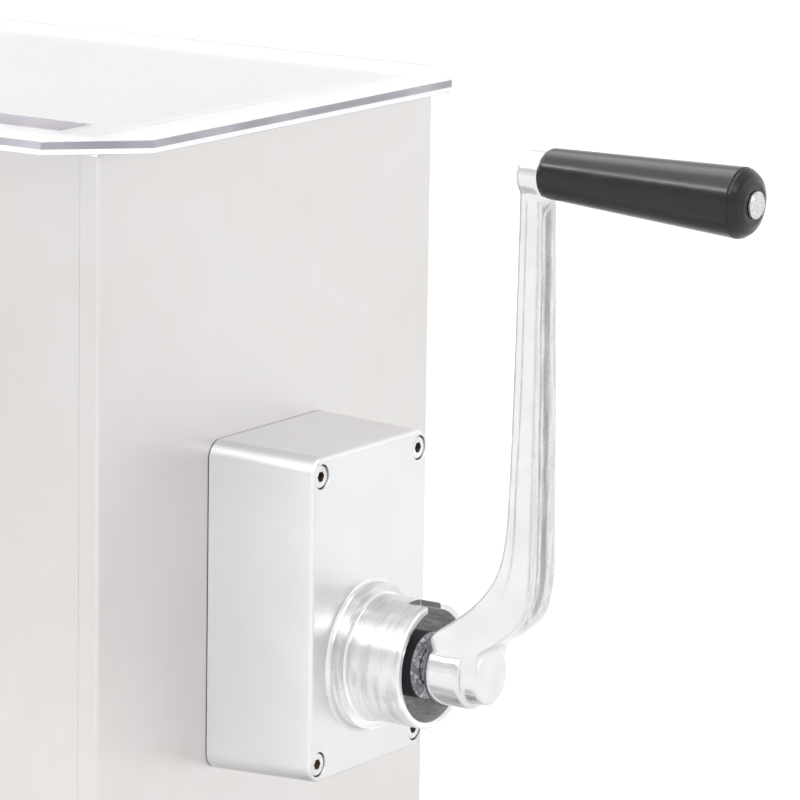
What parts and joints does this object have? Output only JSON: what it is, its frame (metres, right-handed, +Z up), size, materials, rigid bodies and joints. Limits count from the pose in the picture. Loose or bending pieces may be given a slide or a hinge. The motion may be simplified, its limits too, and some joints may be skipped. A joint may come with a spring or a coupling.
{
  "type": "hand-cranked tank mixer",
  "caption": "Rectangular stainless tank with a clear slotted lid, a side gearbox and an S-shaped hand crank that turns bladed paddles inside.",
  "frame": {"origin": "on the standing surface, under the middle of the whole object", "axes": "+Z up, +X from the tank along the crank shaft to the grip, +Y to the back (the lid's slot is at the front)"},
  "size_m": [0.609, 0.2784, 0.4758],
  "materials": {
    "tank_sheet": "fine satin stainless sheet, faint mottled reflections",
    "cast_aluminium": "machined and polished die cast aluminium",
    "crank_chrome": "bright chrome plate over a slightly uneven casting",
    "bright_steel": "turned or plated steel",
    "bronze": "sintered bronze",
    "black_grip": "glossy moulded black plastic",
    "black_bush": "dull black plastic, lightly scratched",
    "white_seal": "white seal plastic",
    "black_rubber": "matte black rubber",
    "clear_acrylic": "clear polished acrylic sheet"
  },
  "bodies": {
    "tank": {"drive_end_panel": "tank_sheet", "idle_end_panel": "tank_sheet", "front_panel": "tank_sheet", "back_panel": "tank_sheet", "trough_floor": "tank_sheet", "foot_rail_drive": "tank_sheet", "foot_rail_idle": "tank_sheet", "foot_front_drive": "black_rubber", "foot_back_drive": "black_rubber", "foot_front_idle": "black_rubber", "foot_back_idle": "black_rubber", "gearbox_gasket": "black_rubber", "gearbox_housing": "cast_aluminium", "gearbox_back_plate": "cast_aluminium", "gearbox_screw_front_top": "bright_steel", "gearbox_screw_back_top": "bright_steel", "gearbox_screw_front_bottom": "bright_steel", "gearbox_screw_back_bottom": "bright_steel", "gearbox_nut_front_top": "bright_steel", "gearbox_nut_back_top": "bright_steel", "gearbox_nut_front_bottom": "bright_steel", "gearbox_nut_back_bottom": "bright_steel", "input_bush_inner": "bronze", "input_bush_outer": "black_bush", "output_bush_inner": "bronze", "output_bush_outer": "bronze", "drive_seal": "white_seal", "idle_bearing": "cast_aluminium", "idle_seal": "white_seal", "idle_screw_front": "bright_steel", "idle_screw_back": "bright_steel", "idle_nut_front": "bright_steel", "idle_nut_back": "bright_steel"},
    "crank": {"crank_arm": "crank_chrome", "crank_grub_screw": "bright_steel", "input_shaft": "bright_steel", "drive_pinion": "bright_steel", "input_key": "bright_steel", "input_retaining_ring": "bright_steel", "grip_pin": "crank_chrome", "grip_washer": "bright_steel"},
    "grip": {"grip": "black_grip"},
    "paddles": {"output_shaft": "bright_steel", "output_gear": "bright_steel", "output_key": "bright_steel", "output_retaining_ring": "bright_steel", "paddle_tube": "tank_sheet", "drive_cross_pin": "bright_steel", "paddle_1": "tank_sheet", "paddle_2": "tank_sheet", "paddle_3": "tank_sheet", "paddle_4": "tank_sheet", "paddle_5": "tank_sheet", "paddle_6": "tank_sheet"},
    "pull_pin": {"idle_pin": "bright_steel", "idle_knob": "black_grip"},
    "lid": {"lid": "clear_acrylic", "lid_locator_drive": "clear_acrylic", "lid_locator_idle": "clear_acrylic"}
  },
  "joints": [
    {"name": "crank_spin", "type": "hinge", "parent": "tank", "child": "crank", "pos_m": [0.13036, 0, 0.2502], "axis": [1, 0, 0], "continuous": true},
    {"name": "grip_spin", "type": "hinge", "parent": "crank", "child": "grip", "pos_m": [0.20946, 0, 0.4611], "axis": [0.9995, 0, -0.0305], "continuous": true},
    {"name": "paddle_spin", "type": "hinge", "parent": "tank", "child": "paddles", "pos_m": [0.07346, 0, 0.2983], "axis": [1, 0, 0], "continuous": true},
    {"name": "lid_lift", "type": "slide", "parent": "tank", "child": "lid", "axis": [0, 0, 1], "range_m": [0, 0.15]},
    {"name": "pull_pin_slide", "type": "slide", "parent": "tank", "child": "pull_pin", "axis": [-1, 0, 0], "range_m": [0, 0.02]}
  ],
  "couplings": [
    {"joint": "paddle_spin", "follows": "crank_spin", "ratio": -0.5}
  ]
}
